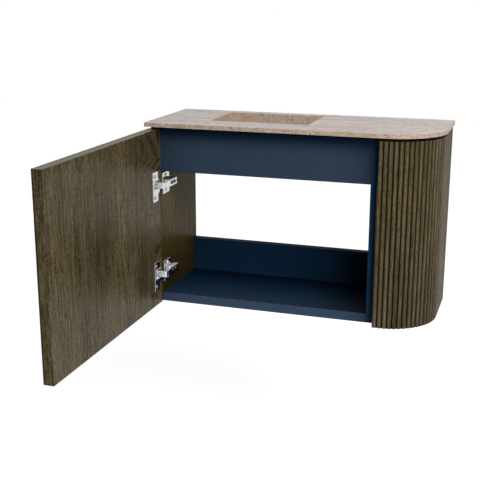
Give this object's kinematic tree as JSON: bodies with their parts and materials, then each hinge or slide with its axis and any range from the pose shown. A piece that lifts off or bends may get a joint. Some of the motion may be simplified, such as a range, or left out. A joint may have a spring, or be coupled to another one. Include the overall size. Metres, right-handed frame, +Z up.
{
  "type": "vanity unit",
  "caption": "Wall-hung cloakroom vanity unit: stone top with an integral basin, open-backed cabinet with a hinged reeded door and a curved reeded end.",
  "frame": {"origin": "middle of the four wall-bolt holes in the upper back rail, on the wall plane", "axes": "+X to the right seen from the front, +Y towards the wall, +Z up"},
  "size_m": [0.6, 0.6807, 0.39],
  "materials": {
    "travertine": "honed travertine",
    "oak_veneer": "dark olive-brown oak, matt",
    "navy_board": "matt navy coated board",
    "core_board": "bare-cut board with a navy face",
    "beech": "fluted beech dowel",
    "nickel_plate": "bright nickel plate",
    "steel_pin": "ground steel"
  },
  "bodies": {
    "carcass": {"stone_top": "travertine", "bowl_front_wall": "travertine", "bowl_back_wall": "travertine", "bowl_left_wall": "travertine", "bowl_right_wall": "travertine", "bowl_floor": "travertine", "left_side_panel": "oak_veneer", "end_reeded_facing": "oak_veneer", "partition_panel": "navy_board", "bottom_panel": "navy_board", "front_apron": "navy_board", "lower_back_rail": "navy_board", "upper_back_rail": "navy_board", "end_top_board": "core_board", "end_middle_board": "core_board", "end_bottom_board": "core_board", "end_curved_core": "core_board", "carcass_dowels": "beech", "end_dowels": "beech", "upper_hinge_arm": "nickel_plate", "upper_mounting_plate": "nickel_plate", "upper_plate_screws": "nickel_plate", "upper_arm_screws": "nickel_plate", "lower_hinge_arm": "nickel_plate", "lower_mounting_plate": "nickel_plate", "lower_plate_screws": "nickel_plate", "lower_arm_screws": "nickel_plate"},
    "door": {"door_board": "oak_veneer", "door_reeded_facing": "oak_veneer", "upper_hinge_cup": "nickel_plate", "upper_cup_screws": "nickel_plate", "upper_hinge_pin": "steel_pin", "lower_hinge_cup": "nickel_plate", "lower_cup_screws": "nickel_plate", "lower_hinge_pin": "steel_pin"}
  },
  "joints": [
    {"name": "door_swing", "type": "hinge", "parent": "carcass", "child": "door", "pos_m": [-0.23077, -0.2164, 0], "axis": [0, 0, -1], "range_deg": [-90, 5]}
  ]
}
